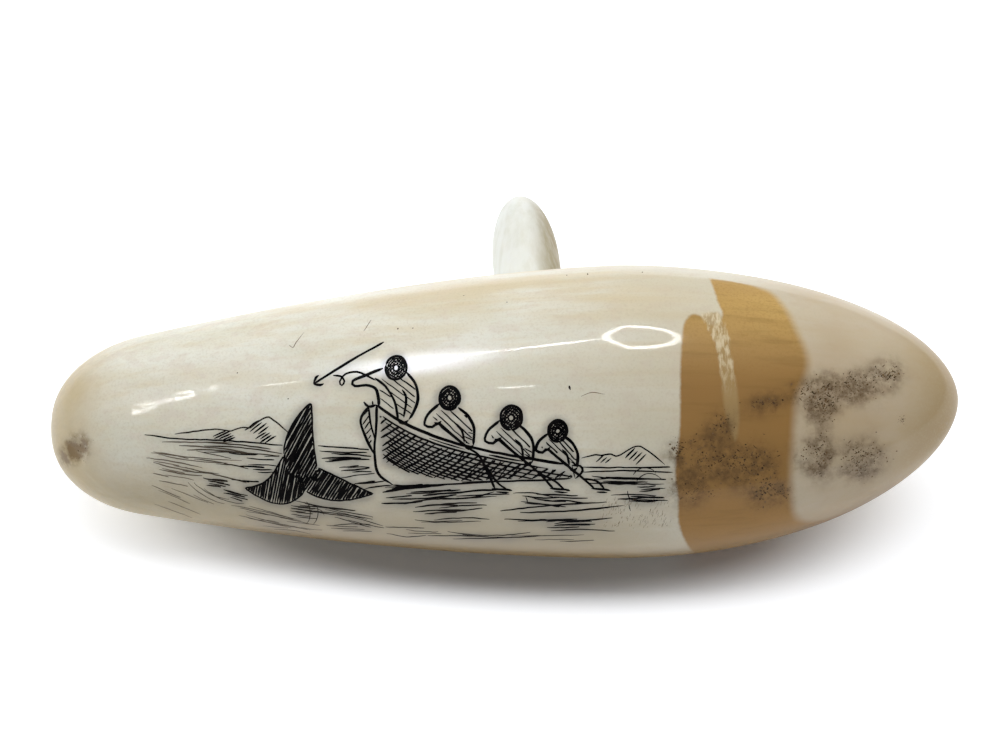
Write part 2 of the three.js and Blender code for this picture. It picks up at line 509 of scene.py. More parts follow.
def inside(shape, points):
    shape, points = np.asarray(shape, float), np.asarray(points, float)
    odd = np.zeros(len(points), bool)
    for (x1, y1), (x2, y2) in zip(shape, np.roll(shape, -1, axis=0)):
        if y1 != y2:
            spans = (points[:, 1] < y1) != (points[:, 1] < y2)
            crossing = x1 + (points[:, 1] - y1) / (y2 - y1) * (x2 - x1)
            odd ^= spans & (points[:, 0] < crossing)
    return odd


# The runs of a line that lie outside (or inside) closed shapes
def runsOf(points, shapes, keepInside=False):
    within = np.zeros(len(points), bool)
    for shape in shapes:
        within |= inside(shape, points)
    runs = [[]]
    for point, wanted in zip(points, within == keepInside):
        if wanted:
            runs[-1].append(point)
        elif runs[-1]:
            runs.append([])
    return [run for run in runs if len(run) > 1]


# A whale's flukes, standing out of the sea: leaf-shaped lobes that meet at a root
flukes = {
    # root, tip, the leaf's left and right side as (width, phase, power), bow, and the hatching's angle
    "upper": ((44.3, -9.8), (46.5, 2.6), (2.6, 0.40, 0.7), (2.9, 0.40, 0.9), 1.35, 60),
    "left": ((44.4, -9.3), (34.8, -11.1), (4.0, 0.20, 0.9), (5.2, 0.50, 4.0), 0.0, 76),
    "right": ((44.4, -9.2), (56.2, -12.3), (2.3, 0.40, 0.9), (2.3, 0.35, 0.9), -0.9, 55),
    "outline": 0.32,
    "hatchGap": 0.41,
    "hatchWidth": 0.38,
    "overlap": 0.86,           # how far the side lobes' hatching runs into the upper lobe
}


def leaf(root, tip, leftSide, rightSide, bow, angle):
    root, tip = np.array(root), np.array(tip)
    length = np.linalg.norm(tip - root)
    ahead = (tip - root) / length
    left = np.array([-ahead[1], ahead[0]])
    share = np.linspace(0, 1, 17)
    middle = root + ahead * (share * length)[:, None] + left * (bow * np.sin(math.pi * share * 0.9))[:, None]
    edges = []
    for width, phase, power in (leftSide, rightSide):
        wide = width * np.maximum(0, np.sin(math.pi * (phase + (1 - phase) * share))) ** power
        wide[-1] = 0
        edges.append(wide[:, None])
    return np.vstack([middle + left * edges[0], (middle - left * edges[1])[::-1][1:]])


def drawFlukes(drawing):
    lobes = {name: leaf(*flukes[name]) for name in ("upper", "left", "right")}
    done = []
    for name, shape in lobes.items():
        others = [other for otherName, other in lobes.items() if otherName != name]
        closed = curveThrough(np.vstack([shape, shape[:1]]), 0.3)
        for run in runsOf(closed, others):
            drawing.stroke(run[::3] + [run[-1]], flukes["outline"], 0.03, 0.03)
        angle = flukes[name][-1]
        drawing.hatch(shape, angle, flukes["hatchGap"], flukes["hatchWidth"], 0.02, keepOff=done)
        middle = shape.mean(axis=0)
        done.append(middle + (shape - middle) * flukes["overlap"])
    return list(lobes.values())


# The whaleboat: a hollow sheer line that sweeps down from the stem, and a flat bottom
boat = {
    "stemX": 57.0,
    "sternX": 89.0,
    "sheerLow": -4.0,
    "sheerRise": 6.1,
    "sheerSweep": 9.0,
    "sheerSlope": 0.150,
    "strakeDrop": 1.15,
    "bottom": -11.3,
    "plankGap": 0.74,
    "plankCount": 13,
    "ribAngle": 31,
    "ribGap": 0.95,
}


def sheerAt(x):
    aft = x - boat["stemX"]
    return boat["sheerLow"] + boat["sheerRise"] * np.exp(-aft / boat["sheerSweep"]) - boat["sheerSlope"] * aft


def drawBoat(drawing):
    stem, stern, bottom = boat["stemX"], boat["sternX"], boat["bottom"]
    xs = np.linspace(stem, stern, 34)
    sheer = np.column_stack([xs, sheerAt(xs)])
    strake = sheer - np.array([0, boat["strakeDrop"]])
    between = sheer - np.array([0, boat["strakeDrop"] * 0.55])
    foot = (2.6, bottom + 0.1)
    farBow = [(-1.4, 1.9), (-2.7, -0.3), (-1.9, -3.0), (-0.5, -6.0)]
    drawing.strokes([(sheer[::2], bold, 0.02, 0.05), (strake[1:-3:2], middling, 0.02, 0.1)])
    # from the stem: the cutwater, and the leaf of the far bow with its notched head
    drawing.strokes([
        ([(0, 2.1), (-0.1, -1.6), (-0.4, -5.4), (0.2, -9.3), foot], bold * 0.9, 0.02, 0.1),
        (farBow, bold * 0.9, 0.04, 0.1),
        ([(-1.4, 1.9), (-1.0, -1.0), (-0.4, -3.4)], middling, 0.05, 0.2),
        ([(-2.2, 2.7), (-1.4, 1.9), (0, 2.1)], bold * 0.9, 0.1, 0.05),
        ([(-0.7, 2.8), (-0.6, 2.0)], middling, 0.2, 0.1),
    ], (stem, 0))
    drawing.hatch(placed(farBow + [(-0.9, -2.6), (-1.3, 0.4)], (stem, 0), 1), 50, 0.75, fine * 1.1, 0.1)
    # the bottom and the sternpost, then a thwart line and a batten between the two upper strakes
    top = float(sheerAt(stern))
    foot = (stem + foot[0], foot[1])
    post = [(stern, top), (stern + 1.4, top - 0.2), (stern + 1.8, top - 1.0), (stern + 0.7, bottom + 0.4)]
    drawing.strokes([
        ([foot, (stem + 6, bottom - 0.1), (stern - 12, bottom + 0.2)], middling, 0.05, 0.3),
        ([(stem + 14, bottom + 0.3), (stern - 6, bottom + 0.3), (stern, bottom + 0.5)], middling, 0.2, 0.05),
        (post, bold * 0.8, 0.05, 0.05),
        ([(stern, top), (stern + 0.3, top - 1.1), (stern + 0.6, bottom + 0.4)], fine, 0.05, 0.05),
        (between[9:17:2], fine * 1.2, 0.3, 0.3),
        (between[19:26:2], middling, 0.2, 0.3),
    ])
    # planking: lines that follow the sheer, crossed by slanting ones
    hull = list(strake[1:]) + [
        (stern + 0.2, bottom + 0.6), (stem + 14, bottom + 0.5), (stem + 9, bottom + 1.2),
        (stem + 4.5, -8.9), (stem + 0.9, -7.2), (stem + 0.4, 0.4),
    ]
    for plank in range(1, boat["plankCount"]):
        drop = boat["plankGap"] * plank * (1 - 0.022 * plank)
        for run in runsOf(curveThrough(strake - np.array([0, drop])), [hull], True):
            first = int(hand.uniform(0, 3))
            drawing.stroke(run[first::2] + [run[-1]], fine * hand.uniform(1.2, 1.6), 0.05, 0.05)
    drawing.hatch(hull, boat["ribAngle"], boat["ribGap"], fine * 1.7, 0.07)
    after = [point for point in hull if point[0] > stem + 9]
    drawing.hatch(after, boat["ribAngle"] + 16, boat["ribGap"] * 1.5, fine * 1.1, 0.2, 0.15)
    bow = [foot, (stem - 0.2, -8.5)]
    outer = [(stem - 2.7, 1.0)] + list(sheer) + [(stern + 1.7, top - 1.0), (stern, bottom)] + bow
    return [outer, hull]


# The crew, faceless and in round caps. Their figures are drawn about a place on the rail, in mm.
crew = {
    # place, size, how far the cap sits off its usual place, and the cap's size
    "seats": [
        ((72.8, -5.0), 1.0, (-0.1, 0.1), 0.97),
        ((82.5, -7.8), 0.97, (0.2, -0.4), 1.02),
        ((89.8, -9.1), 0.84, (0.0, -0.5), 0.90),
    ],
    "harpooner": ((62.3, -0.5), 1.08),
    "capWide": 1.72,
    "capTall": 1.95,
    "capRings": [(1.0, 0.459), (0.80, 0.24), (0.58, 0.26), (0.28, 0.34)],      # share of the cap, width
    "strawGap": 0.36,
    "oarDip": -12.3,
}


def drawCap(drawing, centre, size):
    wide, tall = crew["capWide"] * size, crew["capTall"] * size

    def ring(share):
        start = hand.uniform(0, 6)
        return [
            (centre[0] + wide * share * math.cos(start + a), centre[1] + tall * share * math.sin(start + a))
            for a in np.linspace(0, 2 * math.pi, 15)
        ]

    for share, width in crew["capRings"]:
        drawing.stroke(ring(share), width, 0.02, 0.02)
    # the straw of the cap, crossed
    crown = ring(0.2)
    for angle, gap, width in ((48, 1, 1.15), (-35, 1.2, 1.05)):
        drawing.hatch(ring(0.92), angle, crew["strawGap"] * size * gap, fine * width, 0.02, keepOff=[crown])


def drawOarsman(drawing, seat, size, capShift, capSize):
    capCentre = placed([(-3.7 + capShift[0], 7.8 + capShift[1])], seat, size)[0]
    drawCap(drawing, capCentre, capSize)
    # back, chest and arm, fist, sleeve, and the seat
    arm = [(-5.4, 7.0), (-7.4, 5.3), (-7.9, 3.6), (-6.6, 3.2), (-5.6, 3.8), (-3.9, 2.3), (-1.4, 0.1)]
    drawing.strokes([
        ([(-2.4, 6.3), (-0.8, 4.9), (0.2, 2.8), (0.1, 0.0)], bold, 0.08, 0.04),
        (arm, bold * 0.95, 0.05, 0.04),
        ([(-6.3, 3.9), (-5.6, 3.7), (-5.2, 4.2)], bold * 0.9, 0.2, 0.2),
        ([(-2.9, 3.7), (-1.8, 2.5), (-1.4, 0.5)], middling * 1.2, 0.15, 0.08),
        ([(0.1, 0.0), (-0.7, -0.5), (-1.4, 0.1)], bold, 0.05, 0.05),
    ], seat, size)
    shirt = placed([
        (-5.2, 6.2), (-6.9, 4.9), (-7.3, 4.0), (-5.3, 4.0), (-3.6, 2.7), (-1.4, 0.6), (-0.1, 0.2), (0.0, 2.7),
        (-0.9, 4.6), (-2.6, 6.0),
    ], seat, size)
    drawing.hatch(shirt, -44, 0.95 * size, fine * 1.15, 0.2)
    shade = placed([(-1.5, 2.2), (-1.2, 0.4), (0.0, 0.2), (0.0, 2.4)], seat, size)
    drawing.hatch(shade, -30, 0.75, fine, 0.1)
    cap = [(2 * math.cos(a), 2.1 * math.sin(a)) for a in np.linspace(0, 6, 12)]
    return [shirt, placed(cap, capCentre, size)]


def drawOar(drawing, seat, size):
    fist, lock = placed([(-5.6, 3.6), (-0.9, -0.2)], seat, size)
    dip = (lock[0] + 4.6 * size, crew["oarDip"] - 0.02 * (seat[0] - 73))
    neck = (lock[0] + 2.2 * size, lock[1] - 1.9 * size)
    # the blade widens to the water
    heel = (dip[0] + 1.9 * size, dip[1] - 0.15)
    drawing.strokes([
        ([fist, lock, neck, dip], bold * 0.85, 0.05, 0.02),
        ([neck, (dip[0] + 0.2, dip[1] + 1.3), heel], bold * 0.75, 0.1, 0.02),
        ([(dip[0] - 0.6, dip[1] + 0.05), heel, (heel[0] + 0.9, heel[1] - 0.2)], bold * 0.8, 0.1, 0.1),
        ([(dip[0] + 0.2, dip[1] - 0.5), (heel[0] + 0.4, heel[1] - 0.5)], middling, 0.3, 0.2),
    ])


def drawHarpooner(drawing, feet, size):
    drawCap(drawing, placed([(-2.0, 8.0)], feet, size)[0], size * 0.92)
    # back, arm and chest, the sides of the shirt, and the belt
    arm = [
        (-4.0, 8.0), (-6.4, 7.1), (-8.6, 6.2), (-8.3, 5.4), (-6.6, 5.5), (-5.2, 5.0), (-4.7, 3.6),
        (-4.6, 2.2),
    ]
    drawing.strokes([
        ([(-0.4, 7.3), (1.1, 5.2), (1.3, 2.6), (0.0, 0.0)], bold, 0.08, 0.04),
        (arm, bold, 0.04, 0.04),
        ([(-5.3, 6.5), (-3.6, 5.2), (-2.2, 2.8), (-1.6, 0.0)], middling * 1.2, 0.08, 0.06),
        ([(-1.0, 4.6), (-0.4, 3.2), (-0.8, 0.4)], middling * 1.2, 0.12, 0.1),
        ([(-1.7, 0.0), (-0.9, -0.5), (0.0, 0.0)], bold, 0.05, 0.05),
    ], feet, size)
    shirt = placed([
        (-5.0, 6.4), (-3.2, 6.8), (-1.0, 6.6), (0.9, 5.0), (1.1, 2.6), (0.0, 0.4), (-1.5, 0.6), (-2.4, 3.0),
        (-3.8, 5.2),
    ], feet, size)
    trousers = placed([(-4.6, 5.2), (-4.4, 2.6), (-1.9, 0.8), (-2.5, 3.0), (-3.6, 4.8)], feet, size)
    drawing.hatch(shirt, -38, 0.95, fine * 1.15, 0.15)
    drawing.hatch(trousers, -38, 1.0, fine, 0.15)
    return [shirt]


harpoon = {
    "butt": (58.0, 12.5),
    "point": (46.4, 5.9),
    "barb": 1.5,
    # the line made fast to it, with one turn, runs back to the harpooner's hand and over the bow
    "line": [
        (49.7, 7.2), (50.9, 7.0), (51.6, 6.2), (51.2, 5.5), (50.8, 6.2), (51.8, 7.4), (53.6, 7.7),
        (55.4, 6.9), (56.8, 6.2),
    ],
}


def drawHarpoon(drawing):
    butt, point = np.array(harpoon["butt"]), np.array(harpoon["point"])
    drawing.stroke([butt, (butt + point) / 2 + (0, 0.15), point], bold * 0.9, 0.04, 0.02)
    ahead = (point - butt) / np.linalg.norm(point - butt)
    for side in (1, -1):
        barb = np.array([-ahead[1], ahead[0]]) * side
        bend = point - ahead * harpoon["barb"] * 0.6 + barb * 0.75
        drawing.stroke([point, bend, point - ahead * harpoon["barb"] + barb * 0.8], bold * 0.9, 0.05, 0.3)
    drawing.stroke(harpoon["line"], middling, 0.03, 0.03)


# The hills behind: two ridges on the horizon, which falls to the right
ridges = {
    "horizonFrom": 18,
    "horizon": -1.5,
    "horizonFall": 0.087,
    # crests: x, height over the horizon, half width at the foot
    "left": {
        "from": 23.0,
        "to": 43.2,
        "crests": [(30.5, 1.35, 8.0), (34.8, 1.9, 4.8), (38.8, 3.9, 5.0)],
        "fade": 0.15,
    },
    "right": {
        "from": 90.6,
        "to": 104.4,
        "crests": [(93.2, 0.9, 3.0), (95.2, 1.2, 2.6), (99.9, 2.9, 4.4)],
        "fade": 0.0,
    },
    # shaded slopes: x and v of their middle, length and slope of the strokes, how many, gap
    "shades": [
        (31.6, -2.3, 3.1, 22, 5, 0.33), (37.2, -1.0, 2.9, 36, 4, 0.46), (38.4, -2.7, 2.6, 31, 4, 0.36),
        (94.3, -7.8, 1.8, 38, 3, 0.40), (99.3, -7.4, 2.4, 46, 4, 0.46),
    ],
}


def ridgeHeight(x, crests):
    return max(height * max(0, 1 - (abs(x - crest) / half) ** 1.25) for crest, height, half in crests)


def horizonAt(x):
    return ridges["horizon"] - ridges["horizonFall"] * (x - ridges["horizonFrom"])


def drawHills(drawing):
    for ridge in (ridges["left"], ridges["right"]):
        xs = np.arange(ridge["from"], ridge["to"], 0.8)
        line = [(x, horizonAt(x) + 0.15 + ridgeHeight(x, ridge["crests"])) for x in xs]
        drawing.stroke(line, fine * 1.25, 0.1, 0.1, fade=ridge["fade"])
    for x, v, length, slope, count, gap in ridges["shades"]:
        turn = math.radians(slope)
        ahead = np.array([math.cos(turn), math.sin(turn)])
        for i in range(count):
            off = (i - (count - 1) / 2) * gap
            shift = hand.uniform(-0.3, 0.3)
            half = length * hand.uniform(0.35, 0.55)
            middle = np.array([
                x + off * math.sin(turn) + shift * math.cos(turn) + off * 0.6,
                v - off * math.cos(turn) + shift * math.sin(turn),
            ])
            ends = [middle - half * ahead, middle + half * ahead]
            drawing.stroke(ends, middling * hand.uniform(0.7, 0.95), 0.25, 0.25)


# The sea: swells, each of which is a bundle of dashes at random places within its bounds
sea = {
    "fadesFrom": 30,           # x where the sea starts to fade towards the crown
    "fadesOver": 22,
    # lines that run the whole way, where the sea meets the sky
    "horizon": [
        [(17.9, -1.6), (23.8, -2.5), (32.5, -3.1), (42.2, -4.2)],
        [(47.2, -4.4), (52, -4.8), (57, -5.4)],
        [(90.9, -9.0), (98, -9.2), (105, -9.1)], [(90.7, -9.8), (98, -9.7), (105.6, -10.0)],
    ],
    # x from and to, v from and to, how many, shortest and longest, slope in degrees, width, fade
    "swells": [
        (18, 42.5, -2.6, -5.2, 7, 8, 17, -7, 0.22, 0.12),
        (18, 37, -4.2, -8.2, 10, 5, 13, -11, 0.21, 0.2),
        (19, 28, -6.0, -9.5, 6, 2.5, 5, -13, 0.18, 0.4),
        (32, 43.5, -5.0, -8.5, 8, 2, 6, -4, 0.24, 0.0),
        (27.5, 32.2, -9.0, -10.6, 6, 2, 4, -10, 0.26, 0.05),
        (30.6, 35.2, -11.1, -12.7, 5, 2, 4, -16, 0.26, 0.05),
        (32.2, 38, -9.2, -10.0, 2, 3, 4, -9, 0.24, 0.0),
        (17, 30, -9.5, -14, 6, 2.5, 7, -25, 0.15, 0.6),
        (32, 46, -13.6, -16.6, 7, 6, 12, -14, 0.17, 0.4),
        (41.5, 58, -13.2, -15.2, 5, 8, 14, -11, 0.22, 0.1),
        (47.5, 58.5, -14.6, -17.4, 4, 6, 9, -16, 0.21, 0.1),
        (42, 46.6, -14.0, -16.3, 7, 2.4, 4, -8, 0.23, 0.15),
        (35, 48, -16.6, -18.6, 5, 3, 7, -9, 0.15, 0.5),
        (48, 56, -17.4, -19.1, 4, 3.5, 6.5, -3, 0.19, 0.2),
        (47.2, 57, -5.2, -5.8, 2, 6, 9, -3, 0.24, 0.0),
        (47, 56.6, -6.4, -7.1, 3, 5, 9, 0, 0.26, 0.0),
        (50.5, 56.4, -7.8, -9.2, 4, 3, 5.4, 2, 0.22, 0.0),
        (50, 60, -9.8, -12, 4, 4, 7.5, 5, 0.23, 0.0),
        (57.5, 73, -11.5, -12.6, 5, 8, 13, 3, 0.33, 0.0),
        (61, 79, -12.6, -14, 7, 6, 10, 5, 0.30, 0.0),
        (57.5, 66, -13.2, -14.6, 4, 4, 6, 1, 0.27, 0.0),
        (61, 76, -14.4, -16.4, 8, 5, 9, 2, 0.27, 0.05),
        (63, 76.5, -17.0, -17.8, 3, 5, 10, 0, 0.23, 0.1),
        (57, 68, -18.3, -19.9, 4, 4, 7, -3, 0.21, 0.2),
        (65, 99.5, -19.2, -20.8, 6, 9, 17, -1, 0.24, 0.1),
        (77, 99.5, -15.8, -16.6, 2, 16, 21, 2, 0.28, 0.0),
        (77.5, 98, -17.2, -17.9, 3, 6, 12, -1, 0.28, 0.0),
        (84, 93, -18.0, -19.1, 6, 4, 7, 2, 0.28, 0.0),
        (83, 94, -20.9, -21.5, 2, 5, 9, -1, 0.20, 0.2),
        (79, 92, -12.9, -15, 8, 4, 8, -5, 0.29, 0.0),
        (91, 104.8, -10.4, -12, 7, 5, 10, -2, 0.26, 0.0),
        (99.5, 104.8, -12.3, -13.2, 3, 3, 4.5, 4, 0.26, 0.0),
        (95.5, 105, -13.6, -14.9, 5, 4, 8, 0, 0.28, 0.0),
    ],
    # curls of foam: x and v of their middle, radius, from and to in degrees, fade
    "curls": [
        (33.0, -3.5, 9.5, 222, 262, 0.45), (33.6, -3.0, 11.0, 218, 256, 0.6),
        (34.6, -3.3, 10.4, 228, 268, 0.35), (42.5, -15.4, 3.0, -45, 35, 0.2),
        (43.8, -15.4, 3.0, -48, 20, 0.25), (46.4, -16.4, 1.5, 15, 115, 0.3),
        (101.0, -11.4, 2.2, 35, 150, 0.0), (101.8, -12.6, 2.4, 40, 150, 0.0),
    ],
    # the up and down ticks of spray: x, v and length
    "spray": [(81.7, -14.2, 1.3), (98.4, -13.9, 1.8), (98.6, -15.9, 1.0)],
}


def drawSea(drawing, keepOff):
    for line in sea["horizon"]:
        drawing.broken(line, keepOff, fine * 1.3, 0.1, 0.1)
    for fromX, toX, fromV, toV, count, shortest, longest, slope, width, faded in sea["swells"]:
        for i in range(count):
            length = min(hand.uniform(shortest, longest), 0.95 * (toX - fromX))
            along = (i * 0.618 + hand.uniform(0, 0.25)) % 1
            x = fromX + (toX - fromX - length) * along
            v = fromV + (toV - fromV) * (i + hand.random()) / count
            turn = math.radians(slope + hand.gauss(0, 1.6))
            bow = hand.gauss(0, 0.02) * length
            share = np.linspace(0, 1, max(3, int(length / 2)))
            line = np.column_stack([
                x + length * share * math.cos(turn),
                v + length * share * math.sin(turn) + bow * np.sin(math.pi * share),
            ])
            fade = min(0.85, faded + float(np.clip((sea["fadesFrom"] - x) / sea["fadesOver"], 0, 0.5)))
            drawing.broken(line, keepOff, width * hand.uniform(0.75, 1.25), 0.2, 0.25, fade, least=3)
    for x, v, radius, start, end, faded in sea["curls"]:
        angles = np.radians(np.linspace(start, end, 7))
        line = [(x + radius * math.cos(a), v + radius * math.sin(a)) for a in angles]
        drawing.broken(line, keepOff, fine * 0.8, 0.3, 0.3, faded)
    for x, v, length in sea["spray"]:
        drawing.stroke([(x - 0.2, v + length / 2), (x + 0.2, v - length / 2)], fine, 0.3, 0.2)


# Marks of age: small cuts, hairs and specks of dirt in the skin
age = {
    "howMany": 1.3,            # specks drawn for each one of a cluster's number
    "hairs": 0.2,              # the share of them that are short bent hairs
    # clusters: x, v, spread along, spread up, how many, biggest speck
    "clusters": [
        (141.2, 5.2, 2.2, 1.6, 110, 0.30),
        (136.0, 3.4, 4.0, 2.4, 150, 0.26),
        (130.8, 1.6, 2.0, 3.2, 170, 0.34),
        (130.2, -8.0, 1.8, 3.6, 110, 0.26),
        (137.5, -8.6, 3.6, 3.0, 190, 0.28),
        (120.8, 1.2, 3.2, 0.9, 60, 0.32),
        (127.2, 3.0, 2.4, 1.6, 50, 0.30),
        (113.4, -2.2, 1.9, 2.0, 70, 0.30),
        (117.5, -8.5, 4.6, 3.2, 230, 0.30),
        (120.6, -12.6, 1.4, 2.6, 90, 0.40),
        (110.5, -7.6, 3.0, 3.4, 130, 0.30),
        (108.8, -13.0, 3.4, 2.0, 90, 0.26),
        (106.6, -6.4, 1.6, 1.8, 60, 0.36),
        (123.8, -13.6, 2.0, 1.4, 50, 0.28),
        (128.4, 0.4, 1.2, 1.4, 30, 0.24),
        (127.6, -7.4, 1.1, 2.2, 40, 0.24),
    ],
    "loose": [(143.9, -2.6, 0.9, 0.7, 22, 0.22), (6.4, -4.2, 1.6, 2.2, 30, 0.16)],
    # a hair crack, ticks and a fibre: points, width, tapers, fade
    "marks": [
        ([(42.0, 12.6), (42.8, 12.1), (43.2, 12.9), (44.4, 14.6)], hair, 0.2, 0.3, 0.6),
        ([(54.6, 14.5), (55.8, 16.4)], hair, 0.3, 0.3, 0.5),
    ],
    # single dots above the scene: x, v, size
    "dots": [
        (60.3, 14.7, 0.3), (62.8, 14.7, 0.22), (78.4, 18.6, 0.2), (71.2, 20.0, 0.2), (92.0, 23.2, 0.3),
        (88.5, 23.1, 0.2), (101.2, 23.4, 0.25), (33.5, 8.2, 0.25), (42.2, 3.6, 0.25),
    ],
    "moreMarks": [
        ([(88.6, 4.4), (88.7, 3.7)], 0.42, 0.4, 0.4),
        ([(90.5, 2.6), (92.3, 3.2), (94.4, 2.8)], hair, 0.4, 0.4, 0.75),
    ],
    # grey pricks at the end of the sea: x from and to, v from and to, how many
    "pricks": (94, 105.6, -19.5, -14.5, 150),
}


def drawAge(drawing):
    for x, v, spreadX, spreadV, count, biggest in age["clusters"] + age["loose"]:
        for _ in range(int(count * age["howMany"])):
            px, pv = hand.gauss(x, spreadX * 0.5), hand.gauss(v, spreadV * 0.5)
            size = 0.06 + biggest * 0.95 * hand.random() ** 2.4
            if hand.random() < age["hairs"]:
                bend = hand.uniform(-1, 1)
                wander = [(px, pv), (px + size, pv + bend * size), (px + 1.6 * size, pv + bend * 1.8 * size)]
                drawing.stroke(wander, size * 0.5, 0.3, 0.3, hand.uniform(0, 0.6))
            else:
                drawing.dot(px, pv, size, hand.uniform(0.05, 0.85))
    drawing.strokes(age["marks"])
    for x, v, size in age["dots"]:
        drawing.dot(x, v, size, 0.35)
    drawing.strokes(age["moreMarks"])
    fromX, toX, fromV, toV, count = age["pricks"]
    for _ in range(count):
        x, v = hand.uniform(fromX, toX), hand.uniform(fromV, toV)
        drawing.stroke([(x, v), (x + 0.15, v + hand.uniform(0.2, 0.6))], hair, 0.3, 0.3, 0.75)


# Colours as they look on a screen, turned into what the shader takes
def screenColour(red, green, blue):
    linear = [((c / 255 + 0.055) / 1.055) ** 2.4 if c > 10 else c / 255 / 12.92 for c in (red, green, blue)]
    return (*linear, 1)


def newMaterial(name):
    material = bpy.data.materials.new(name)
    material.use_nodes = True
    return material, material.node_tree, material.node_tree.nodes["Principled BSDF"]


# Gives a socket a plain value, another socket, or the value at the mesh's points that a word names
def setSockets(tree, node, values):
    for name, value in values.items():
        if isinstance(value, str):
            value = addNode(tree, "ShaderNodeAttribute", attribute_name=value).outputs["Fac"]
        if isinstance(value, bpy.types.NodeSocket):
            tree.links.new(value, node.inputs[name])
        else:
            node.inputs[name].default_value = value


def addNode(tree, kind, values=None, **settings):
    made = tree.nodes.new(kind)
    for name, value in settings.items():
        setattr(made, name, value)
    setSockets(tree, made, values or {})
    return made


def placeOf(tree):
    return addNode(tree, "ShaderNodeTexCoord").outputs["Object"]


def noiseOf(tree, stretch, scale, detail=3, roughness=0.5):
    mapping = addNode(tree, "ShaderNodeMapping", {"Vector": placeOf(tree), "Scale": stretch})
    values = {"Vector": mapping.outputs["Vector"], "Scale": scale, "Detail": detail, "Roughness": roughness}
    return addNode(tree, "ShaderNodeTexNoise", values).outputs["Fac"]


def rampOf(tree, source, low, high, top=1.0, bottom=0.0):
    values = {"Value": source, "From Min": low, "From Max": high, "To Min": bottom, "To Max": top}
    return addNode(tree, "ShaderNodeMapRange", values, interpolation_type="SMOOTHSTEP").outputs["Result"]


def mathOf(tree, operation, first, second):
    return addNode(tree, "ShaderNodeMath", {0: first, 1: second}, operation=operation).outputs[0]


# Lays tones over a colour one after another, each by its own share
def layersOf(tree, colour, layers):
    for share, tone in layers:
        colour = addNode(tree, "ShaderNodeMix", {0: share, 6: colour, 7: tone}, data_type="RGBA").outputs[2]
    return colour


# Lays bumps over one another: height, strength and distance in mm
def bumpsOf(tree, rows):
    values = {}
    for height, strength, distance in rows:
        values |= {"Height": height, "Strength": strength, "Distance": distance * mm}
        values["Normal"] = addNode(tree, "ShaderNodeBump", values).outputs["Normal"]
    return values["Normal"]


ivoryLook = {
    "tones": {
        "cream": (228, 223, 203),
        "creamPale": (234, 232, 218),
        "creamWarm": (223, 212, 188),
        "creamGreen": (219, 217, 198),
        "honey": (216, 198, 160),
        "amberLight": (199, 163, 96),
        "amberDark": (154, 115, 62),
        "amberLow": (170, 125, 62),
        "flap": (171, 144, 98),
        "flapPale": (220, 205, 170),
        "rootTan": (181, 154, 116),
        "rootTip": (163, 136, 88),
        "crownTan": (204, 186, 148),
        "stain": (118, 90, 56),
        # the brown of the underside band, partly painted shade, and of the amber's brushing
        "rim": (120, 92, 46),
        # painted shade below and towards the root end, and the darker fine grain
        "shadeAndGrainTone": (189, 175, 144),
        "mottle": (221, 210, 194),
        "smudge": (88, 66, 42),
        "haze": (104, 103, 104),
    },
    # the grain: stretch, scale, detail, roughness
    "noises": {
        "streaks": ((0.10, 1, 1), 210, 4, 0.6),
        "brushing": ((0.06, 1, 1), 620, 3, 0.6),
        "clouds": ((0.45, 1, 1), 55),
        "tints": ((0.3, 1, 1), 90, 2),
        "mottling": ((0.6, 1, 1), 420, 2),
        "speckle": ((1, 1, 1), 900, 3, 0.7),
        "grains": ((1, 1, 1), 2400, 2, 0.6),
        "strands": ((1, 0.3, 0.3), 1500, 4, 0.65),
        "blotches": ((1, 1, 1), 260, 4, 0.65),
        "flakes": ((1, 1, 1), 560, 5, 0.7),
        "ripple": ((0.12, 1, 1), 330, 2),
        "wear": ((0.6, 1, 1), 800, 4, 0.7),
    },
    "amberFray": 0.4,          # how far the grain frays the band's edge, in mm
    "flapFray": 1.5,
    "crownEnds": (-0.056, -0.042),         # the coat is patchy left of this
    "turnedAway": (0.55, 0.88, 0.95),      # where the coat ends on skin that turns away, and how much of it
    "coat": 0.42,
    "shader": {
        "Subsurface Weight": 0.15,
        "Subsurface Radius": (1.0, 0.7, 0.45),
        "Subsurface Scale": 1.2 * mm,
        "IOR": 1.54,
        "Specular IOR Level": 0.08,
        "Coat Roughness": 0.05,
    },
}


